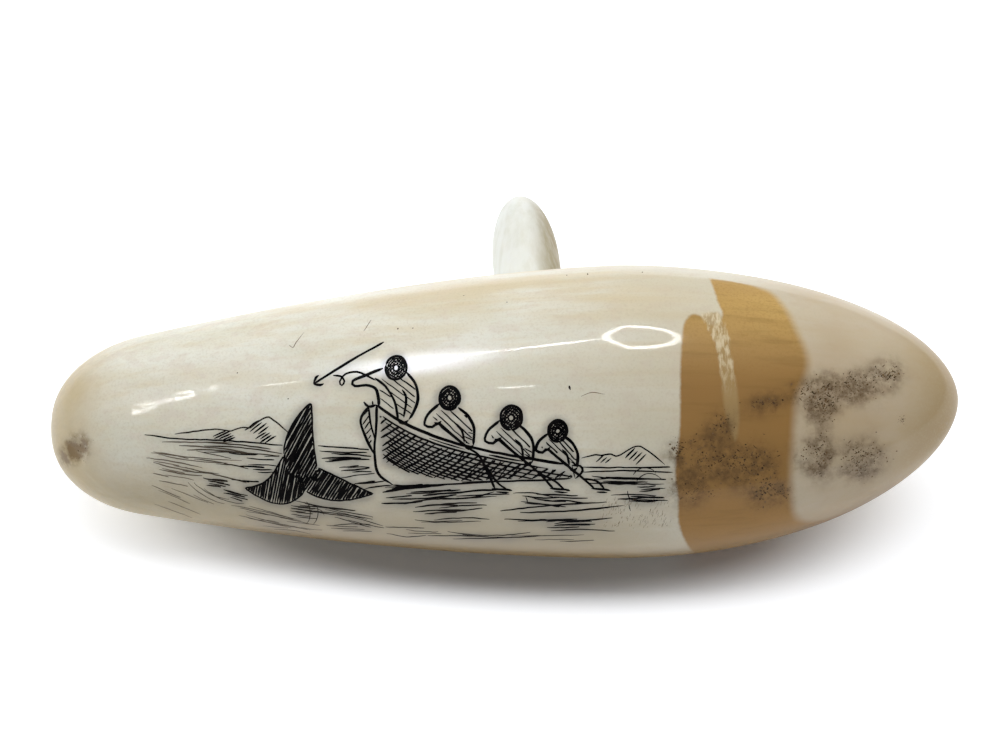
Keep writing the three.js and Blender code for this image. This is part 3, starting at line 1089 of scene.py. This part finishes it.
def ivoryMaterial():
    look = ivoryLook
    material, tree, shader = newMaterial("polished whale ivory")
    tone = {name: screenColour(*values) for name, values in look["tones"].items()}
    noise = {name: noiseOf(tree, *values) for name, values in look["noises"].items()}

    # a share that follows a noise: from, to, and its most and least
    def grain(name, *ends):
        return rampOf(tree, noise[name], *ends)

    def times(first, second):
        return mathOf(tree, "MULTIPLY", first, second)

    # how far a noise moves an edge
    def fray(name, reach, where):
        return times(times(mathOf(tree, "SUBTRACT", noise[name], 0.5), reach), where)

    def layered(colour, layers):
        return layersOf(tree, colour, [(share, tone[name]) for share, name in layers])

    colour = layered(tone["creamPale"], [
        (grain("streaks", 0.38, 0.66), "cream"),
        (grain("clouds", 0.46, 0.70, 0.7), "creamWarm"),
        (grain("tints", 0.5, 0.68, 0.5), "creamGreen"),
        (grain("brushing", 0.48, 0.72, 0.25), "honey"),
        (grain("mottling", 0.5, 0.68, 0.45), "mottle"),
        # painted shade: the skin darker towards the bottom and towards the root end
        ("lowShade", "shadeAndGrainTone"),
        (times("warmTop", grain("streaks", 0.36, 0.7)), "honey"),
        (times("rootTan", grain("clouds", 0.36, 0.62, 1.0, 0.62)), "rootTan"),
        ("rootTip", "rootTip"),
        (grain("grains", 0.45, 0.75, 0.24), "shadeAndGrainTone"),
    ])
    # the band of bare cement round the root, and the flap of dentine that crosses it
    amberTone = layered(tone["amberLight"], [
        # painted shade: the band is lighter at its top and darker from the middle down
        ("amberShade", "amberDark"),
        ("amberLow", "amberLow"),
        (grain("tints", 0.42, 0.7, 0.35), "amberDark"),
        (grain("brushing", 0.48, 0.75, 0.3), "rim"),
        (grain("grains", 0.45, 0.7, 0.3), "amberDark"),
    ])
    amberEdge = mathOf(tree, "ADD", "amberEdge", fray("speckle", look["amberFray"], "edgeFray"))
    amber = rampOf(tree, amberEdge, -0.15, 0.5, 0.97)
    flapTone = layered(tone["flap"], [(grain("strands", 0.4, 0.62), "flapPale"), ("flapLow", "flap")])
    calmBelow = mathOf(tree, "SUBTRACT", 1.0, times("flapLow", 0.8))
    flapEdge = mathOf(tree, "ADD", "flapEdge", fray("strands", look["flapFray"], calmBelow))
    flap = rampOf(tree, flapEdge, -0.2, 0.6, 0.8)
    colour = layersOf(tree, colour, [(amber, amberTone), (flap, flapTone)])
    # rim (a brown band along the underside, partly painted shade), stains, dirt and the haze that rubbed ink
    # leaves
    smudge = times("smudge", grain("blotches", 0.36, 0.62, 1.0, 0.3))
    cloudy = times(smudge, grain("speckle", 0.3, 0.66, 0.9, 0.5))
    grainy = times(smudge, grain("grains", 0.56, 0.66, 0.95))
    flaky = times("crownStain", grain("flakes", 0.34, 0.7, 1.0, 0.35))
    colour = layered(colour, [
        ("rimBrownAndShade", "rim"),
        ("crownTan", "crownTan"),
        (rampOf(tree, flaky, 0.02, 0.72, 0.76), "stain"),
        (mathOf(tree, "MAXIMUM", cloudy, grainy), "smudge"),
        ("inkHaze", "haze"),
    ])
    # the coat is patchy on the crown, and gone where the skin turns away and from the amber's lower part
    place = addNode(tree, "ShaderNodeSeparateXYZ", {0: placeOf(tree)})
    patchy = times(rampOf(tree, place.outputs["X"], *look["crownEnds"], 0, 1), grain("wear", 0.44, 0.56))
    facing = addNode(tree, "ShaderNodeLayerWeight", {"Blend": 0.5}).outputs["Facing"]
    bare = mathOf(tree, "MAXIMUM", times(patchy, 0.97), rampOf(tree, facing, *look["turnedAway"]))
    bare = mathOf(tree, "MAXIMUM", bare, times(amber, "amberLow"))
    setSockets(tree, shader, look["shader"] | {
        "Base Color": colour,
        "Roughness": mathOf(tree, "ADD", grain("clouds", 0.3, 0.8, 0.36, 0.28), times(smudge, 0.2)),
        "Coat Weight": times(mathOf(tree, "SUBTRACT", 1.0, bare), look["coat"]),
        "Normal": bumpsOf(tree, [
            (noise["ripple"], 0.35, 0.03),
            (noise["brushing"], 0.3, 0.015),
            (amber, 0.6, 0.05),
            (times(flap, noise["strands"]), 0.6, 0.08),
            (noise["grains"], 0.25, 0.006),
        ]),
    })
    return material


pegLook = {
    "white": screenColour(233, 234, 226),
    "grain": screenColour(223, 223, 211),
    "cloud": screenColour(218, 214, 198),
    # the tan stain of the peg's right side, which also paints its shade
    "tan": screenColour(150, 135, 94),
    "grime": screenColour(150, 134, 106),
    "grimeShare": 0.6,
    "grimeEnds": (-1 * mm, 2.5 * mm),      # from the tooth's skin along the peg
    # the tan side is partly a stain and partly painted shade
    "tanAndShadeEnds": (0.0, 0.78),    # shares of the radius, towards the side that is tan
    "shader": {
        "Specular IOR Level": 0.25,
        "Subsurface Weight": 0.15,
        "Subsurface Radius": (1.0, 0.75, 0.5),
        "Subsurface Scale": 1.5 * mm,
    },
}


def pegMaterial():
    look = pegLook
    material, tree, shader = newMaterial("whittled white ivory")
    grain = noiseOf(tree, (1, 0.07, 1), 520, 4, 0.65)
    clouds = noiseOf(tree, (1, 0.4, 1), 90, 2)
    setSockets(tree, shader, look["shader"] | {
        "Base Color": layersOf(tree, look["white"], [
            (rampOf(tree, grain, 0.35, 0.7), look["grain"]),
            (rampOf(tree, clouds, 0.5, 0.8, 0.3), look["cloud"]),
            # a tan stain and painted shade on the peg's right side
            (mathOf(tree, "MULTIPLY", "tanAndShadeSide", rampOf(tree, grain, 0.25, 0.6, 1.0, 0.76)), look["tan"]),
            ("grime", look["grime"]),
        ]),
        "Roughness": rampOf(tree, grain, 0.3, 0.8, 0.48, 0.34),
        "Normal": bumpsOf(tree, [(grain, 0.4, 0.05)]),
    })
    return material


def inkMaterial(name, tones):
    dark, worn, faded = (screenColour(*tone) for tone in tones)
    material, tree, shader = newMaterial(name)
    wear = noiseOf(tree, (1, 1, 1), 700, 2)
    setSockets(tree, shader, {
        "Base Color": layersOf(tree, dark, [(rampOf(tree, wear, 0.4, 0.75), worn), ("inkFade", faded)]),
        "Roughness": rampOf(tree, wear, 0.3, 0.7, 0.65, 0.45),
        "Specular IOR Level": 0.04,
    })
    return material


# dark, worn and faded
ink = inkMaterial("rubbed-in ink", [(3, 3, 4), (19, 16, 15), (132, 120, 104)])
dirt = inkMaterial("dirt in the pores", [(34, 25, 17), (62, 47, 33), (128, 102, 72)])

# each figure is a piece of its own, and all draw from the one hand, in this order
figures = ("engraved_flukes", "engraved_whaleboat", "engraved_crew", "engraved_hills", "engraved_sea")
drawings = [Drawing(name) for name in figures]
flukesDrawing, boatDrawing, crewDrawing, hillsDrawing, seaDrawing = drawings
flukeShapes = drawFlukes(flukesDrawing)
boatShapes = drawBoat(boatDrawing)
crewShapes = drawHarpooner(crewDrawing, *crew["harpooner"])
for seat, size, capShift, capSize in crew["seats"]:
    crewShapes += drawOarsman(crewDrawing, seat, size, capShift, capSize)
    drawOar(crewDrawing, seat, size)
drawHarpoon(crewDrawing)
drawHills(hillsDrawing)
drawSea(seaDrawing, flukeShapes + boatShapes[:1] + crewShapes)
engravedPlaces = list(inkedPlaces)
ageDrawing = Drawing("specks_and_scratches")
drawAge(ageDrawing)
for drawing in drawings:
    drawing.finish(ink)
ageDrawing.finish(dirt)


# The stains of the skin. Outlines are pairs of mm from the crown's tip and degrees round the tooth.
stains = {
    "girthRadius": 21.5,       # turns degrees into mm round the skin
    "amber": [
        (112.2, 68), (117, 67), (122.5, 64), (125.3, 51), (126.9, 38), (128.2, 28), (128.6, 20),
        (127.6, 11), (126.4, 3), (126.0, -14), (125.9, -30), (126.6, -48), (127.8, -60), (131, -70),
        (136, -80), (132, -96), (126, -120), (120, -143), (113, -148), (108.5, -134), (108, -110),
        (110, -84), (108.9, -70), (106.8, -50), (106.4, -36), (105.8, -23), (106.4, -7), (106.5, 12),
        (106.9, 28), (107.7, 38), (109.2, 41.5), (110.8, 40), (112.2, 36), (113.9, 41.5), (113.2, 49),
    ],
    "flap": [
        (110.2, 41), (111.6, 32), (112.7, 24), (113.2, 15), (113.8, 0), (115.6, -13), (116.5, -5.8),
        (116.3, 6), (115.5, 17), (115.3, 28), (114.4, 36), (113.6, 43), (112.0, 43),
    ],
    "rootSoftness": 0.28,      # how sharp the band's edge is on the root's side, 1 being as on the other
    "hullWash": 0.62,
    # spots: x and v of their middle, how wide and how strong
    "crownStains": [(6.0, -3.2, 5, 1.2), (3.6, -5, 4, 0.8)],
    "crownSpots": [(6, 6, 5, 1), (5.6, -8, 2, 1)],
    "haze": (330, 120, 0.5, 30),           # cells along and up, their size, and how far down they start
}


# Distance in mm from points to a closed outline, positive inside it
def depthInside(outline, x, across, unit=1.0):
    shape = np.array(outline, float) * (1, unit)
    shape = curveThrough(np.vstack([shape, shape[:1]]), 1.0)[:-1]
    points = np.column_stack([x, across * unit])
    depth = np.full(len(points), 99.0)
    for i in range(len(shape)):
        a, b = shape[i], shape[(i + 1) % len(shape)]
        side = b - a
        share = np.clip(((points - a) @ side) / (side @ side), 0, 1)
        depth = np.minimum(depth, np.linalg.norm(points - a - share[:, None] * side, axis=1))
    return np.where(inside(shape, points), depth, -depth)


# A haze round places: their widths put on a grid of cells and blurred
def hazeAt(places, x, v, blurs):
    columns, rows, cell, below = stains["haze"]
    grid = np.zeros((columns, rows))
    for px, pv, width in places:
        grid[int(px / cell), int((pv + below) / cell)] += width
    for _ in range(blurs):
        grid[1:-1] = (grid[:-2] + grid[1:-1] * 2 + grid[2:]) / 4
        grid[:, 1:-1] = (grid[:, :-2] + grid[:, 1:-1] * 2 + grid[:, 2:]) / 4
    column, row = x / cell, (v + below) / cell
    i = np.clip(column.astype(int), 0, columns - 2)
    j = np.clip(row.astype(int), 0, rows - 2)
    a, b = np.clip(column - i, 0, 1), np.clip(row - j, 0, 1)
    return (
        grid[i, j] * (1 - a) * (1 - b) + grid[i + 1, j] * a * (1 - b)
        + grid[i, j + 1] * (1 - a) * b + grid[i + 1, j + 1] * a * b
    )


def spotsAt(spots, x, v):
    return sum(
        strength * np.exp(-((x - middleX) ** 2 + (v - middleV) ** 2) / wide)
        for middleX, middleV, wide, strength in spots
    )


# The stains, dirt and ink haze of the skin, and the painted shade on it, as values at its points
def stainAndShadeTooth(body):
    x, v, turn = skinPlace(readPoints(body))
    below = -np.degrees(turn)
    down = -np.sin(turn)
    facing = smoothStep(np.cos(turn), 0.02, 0.3)

    # the depth in an outline, worked out only for the points near it
    def depthNear(near, outline, across, unit=1.0):
        depth = np.full(len(x), -9.0)
        depth[near] = depthInside(outline, x[near], across[near], unit)
        return depth

    nearBand = (x > 95) & (x < 146)
    nearBoat = (x > 54) & (x < 93) & (np.cos(turn) > 0.3)
    perDegree = math.radians(1) * stains["girthRadius"]
    soft = 1 - (1 - stains["rootSoftness"]) * smoothStep(x, 117, 121)
    # painted shade: darker towards the bottom, a little more at the crown's side, and towards the root end
    lowShade = smoothStep(below, 5, 62) * (1 - smoothStep(below, 110, 160))
    lowShade *= (1 - smoothStep(x, 92, 118) * 0.8) * (0.9 + 0.1 * (1 - smoothStep(x, 18, 40)))
    # a brown band along the underside: partly the tooth's own brown edge, partly painted shade
    rim = np.exp(-((below - 87) / 22) ** 2) * smoothStep(x, 8, 45) * 0.95
    warmTop = smoothStep(-down, 0.37, 0.82) * smoothStep(x, 22, 50) * (1 - smoothStep(x, 92, 116)) * 0.6
    tipBelow = 0.3 * smoothStep(x, 128, 140) * smoothStep(down, 0.09, 0.87)
    spots = spotsAt(stains["crownSpots"], x, v) * facing * 0.16
    dirty = [(px, pv, 1.0) for px, pv in clusterPlaces()]
    rubbed = np.clip(hazeAt(engravedPlaces, x, v, 3) * 1.5, 0, 0.45)
    hull = smoothStep(depthNear(nearBoat, boatShapes[1], v), -0.9, 0.6)
    values = {
        "edgeFray": soft ** 2,
        "amberEdge": depthNear(nearBand, stains["amber"], -below, perDegree) * soft,
        "flapEdge": depthNear(nearBand, stains["flap"], -below, perDegree),
        # painted shade on the band, darker from the middle of the face down
        "flapLow": smoothStep(below, -20, -4),
        "amberShade": smoothStep(below, -55, -5),
        "amberLow": smoothStep(below, 22, 50) * 0.8,
        "warmTop": warmTop,
        "rootTan": smoothStep(x, 113, 134) * (0.75 + 0.25 * smoothStep(down, -0.5, 0.3)),
        "rootTip": smoothStep(x, 140, 155) * 0.8 + tipBelow,
        "lowShade": np.maximum(lowShade, smoothStep(x, 70, 108) * 0.45),
        "rimBrownAndShade": rim * (1 - smoothStep(x, 140, 152)),
        "crownStain": np.clip(spotsAt(stains["crownStains"], x, v) * facing, 0, 1),
        "smudge": np.clip(hazeAt(dirty, x, v, 12) * 1.5, 0, 0.9) * facing,
        "crownTan": np.clip((1 - smoothStep(x, 2, 15)) * 0.9 + spots, 0, 1),
        "inkHaze": np.maximum(rubbed, hull * stains["hullWash"]) * facing,
    }
    for name, value in values.items():
        addValues(body, name, value)


# Where the dirt lies thickest, from the same clusters as the specks
def clusterPlaces():
    spread = random.Random(engraving["seed"])
    return [
        (spread.gauss(x, spreadX * 0.55), spread.gauss(v, spreadV * 0.55))
        for x, v, spreadX, spreadV, count, biggest in age["clusters"]
        for _ in range(count)
    ]


def agePeg(piece):
    fromLine = readPoints(piece) - pegStart
    distance = fromLine @ pegDirection
    across = (fromLine - distance[:, None] * pegDirection)[:, 0] / pegRadius
    atSocket = 1 - smoothStep(distance - pegToSkin, *pegLook["grimeEnds"])
    addValues(piece, "grime", atSocket * pegLook["grimeShare"])
    # the peg's right side: a tan stain, and painted shade
    addValues(piece, "tanAndShadeSide", smoothStep(across, *pegLook["tanAndShadeEnds"]))


stainAndShadeTooth(engravedTooth)
agePeg(whittledPeg)
engravedTooth.data.materials.append(ivoryMaterial())
whittledPeg.data.materials.append(pegMaterial())
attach(engravedTooth, "root")
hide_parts("tooth")
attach(whittledPeg, "root")
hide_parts("prop_peg")
print("stained and finished")

# The studio: a white table, a long soft light above and behind, small lamps that only the polish
# shows, and the camera at the photograph's angle. Lamps: where they hang and how big they are, in mm
studio = {
    "floorSize": 6.0,
    "floorBelow": 0.02 * mm,
    "paper": {"Base Color": (0.91, 0.935, 0.975, 1), "Roughness": 0.9, "Specular IOR Level": 0.0},
    "sky": {"Color": (0.92, 0.98, 1.1, 1), "Strength": 0.12},
    # painted light: the white paper is overexposed all round the tooth, which trims its shadow: from and to a
    # share of this oval, how much
    "paperOval": (58 * mm, 22 * mm),
    "paperGlow": (0.9, 1.3, 0.03, 0.42),
    "paperShift": 2 * mm,
    "paperTurn": math.radians(2.6),
    # place, size, power
    "lights": {
        "overhead_light": ((-0.05, 0.11, 0.79), (2.6, 0.30), 10.8),
        "back_light": ((-0.05, 0.85, 0.34), (2.0, 0.40), 3.6),
    },
    "lamps": {
        # place, half widths, turn in degrees, strength, inner edge of a ring or 0, how soft. A quite soft
        # one has its own tint.
        "ring_lamp": ((43, 160, 600), (70, 102), 4, 34, 0.85, 0.0),
        "strip_lamp": ((-98, 110, 600), (88, 5), 26, 70, 0, 0.3),
        "soft_lamp": ((-194, 46, 600), (76, 138), -12, 37, 0, 1.0),
        "near_crown_lamp": ((-372, -57, 600), (19, 100), -20, 62, 0, 0.9),
        "far_crown_lamp": ((-438, -180, 600), (24, 125), -19, 42, 0, 0.9),
        "short_crown_lamp": ((-303, -35, 600), (27, 8), 14, 22, 0, 0.5),
        "tube_lamp": ((-123, -178, 600), (19, 7), 6, 26, 0, 0.3),
    },
    "softTint": (0.86, 0.95, 1.16, 1),
    "ringTaper": 0.93,
    "lens": 90,
    "cameraAway": 0.432,
    "aim": (0.0, 5.0 * mm, 20.0 * mm),     # from the middle of the tooth's length, and from the origin
    "frameWidth": 1008,
    "shiftRight": 2.59,        # in pixels of the photograph's frame
    "shiftUp": 36.6,
}


def addLamp(name, place, halfWidths, turnDegrees, strength, innerEdge, softness):
    bpy.ops.mesh.primitive_circle_add(
        vertices=72,
        radius=1,
        fill_type="NOTHING" if innerEdge else "NGON",
        location=Vector(place) * mm,
        rotation=(0, 0, math.radians(turnDegrees)),
    )
    lamp = bpy.context.object
    lamp.name = name
    if innerEdge:
        with editing(lamp):
            bpy.ops.mesh.extrude_edges_move()
            bpy.ops.transform.resize(
                value=(innerEdge, innerEdge * studio["ringTaper"], 1), center_override=Vector(place) * mm
            )
    lamp.scale = (halfWidths[0] * mm, halfWidths[1] * mm, 1)
    for rays in ("camera", "diffuse", "shadow", "transmission"):
        setattr(lamp, "visible_" + rays, False)
    material, tree, _ = newMaterial(name)
    tree.nodes.clear()
    glow = {"Strength": strength}
    if softness:
        length = addNode(tree, "ShaderNodeVectorMath", {0: placeOf(tree)}, operation="LENGTH")
        glow["Strength"] = rampOf(tree, length.outputs["Value"], 1 - softness, 1, 0, strength)
    if softness == 1:
        glow["Color"] = studio["softTint"]
    both = addNode(tree, "ShaderNodeAddShader", {
        0: addNode(tree, "ShaderNodeEmission", glow).outputs[0],
        1: addNode(tree, "ShaderNodeBsdfTransparent").outputs[0],
    })
    addNode(tree, "ShaderNodeOutputMaterial", {"Surface": both.outputs[0]})
    lamp.data.materials.append(material)


def makeStudio():
    bpy.ops.mesh.primitive_plane_add(size=studio["floorSize"], location=(0, 0, -studio["floorBelow"]))
    floor = bpy.context.object
    floor.name = "white_table"
    material, tree, shader = newMaterial("white paper")
    # painted light: the paper glows outside an oval round the tooth, so its shadow shows only close under it
    toothMiddle = (lowCorner + highCorner) / 2
    middle = (toothMiddle.x + studio["paperShift"], toothMiddle.y, 0)
    place = addNode(tree, "ShaderNodeVectorMath", {0: placeOf(tree), 1: middle}, operation="SUBTRACT")
    place = addNode(tree, "ShaderNodeMapping", {
        "Vector": place.outputs["Vector"], "Rotation": (0, 0, studio["paperTurn"]),
    })
    place = addNode(tree, "ShaderNodeMapping", {
        "Vector": place.outputs["Vector"], "Scale": (*(1 / half for half in studio["paperOval"]), 0),
    })
    length = addNode(tree, "ShaderNodeVectorMath", {0: place.outputs["Vector"]}, operation="LENGTH")
    start, end, least, most = studio["paperGlow"]
    setSockets(tree, shader, studio["paper"] | {
        "Emission Color": (1, 1, 1, 1),
        "Emission Strength": rampOf(tree, length.outputs["Value"], start, end, most, least),
    })
    floor.data.materials.append(material)
    world = bpy.data.worlds.new("studio")
    world.use_nodes = True
    setSockets(world.node_tree, world.node_tree.nodes["Background"], studio["sky"])
    bpy.context.scene.world = world
    for name, (place, size, power) in studio["lights"].items():
        turn = -math.atan2(place[1], place[2] - 0.02)
        bpy.ops.object.light_add(type="AREA", location=place, rotation=(turn, 0, 0))
        light = bpy.context.object
        light.name = name
        light.data.shape = "RECTANGLE"
        light.data.size, light.data.size_y = size
        light.data.energy = power
        light.visible_glossy = False
    for name, lamp in studio["lamps"].items():
        addLamp(name, *lamp)
    bpy.context.scene.view_settings.view_transform = "Standard"


def makeCamera():
    middle = Vector(((lowCorner.x + highCorner.x) / 2, 0, 0)) + Vector(studio["aim"])
    bpy.ops.object.camera_add(
        location=middle + Vector(faceOut) * studio["cameraAway"],
        rotation=(math.pi / 2 - lookUp, 0, 0),
    )
    camera = bpy.context.object
    camera.data.lens = studio["lens"]
    camera.data.clip_start = 0.01
    camera.data.shift_x = studio["shiftRight"] / studio["frameWidth"]
    camera.data.shift_y = studio["shiftUp"] / studio["frameWidth"]
    bpy.context.scene.camera = camera


makeStudio()
makeCamera()
print("studio set")
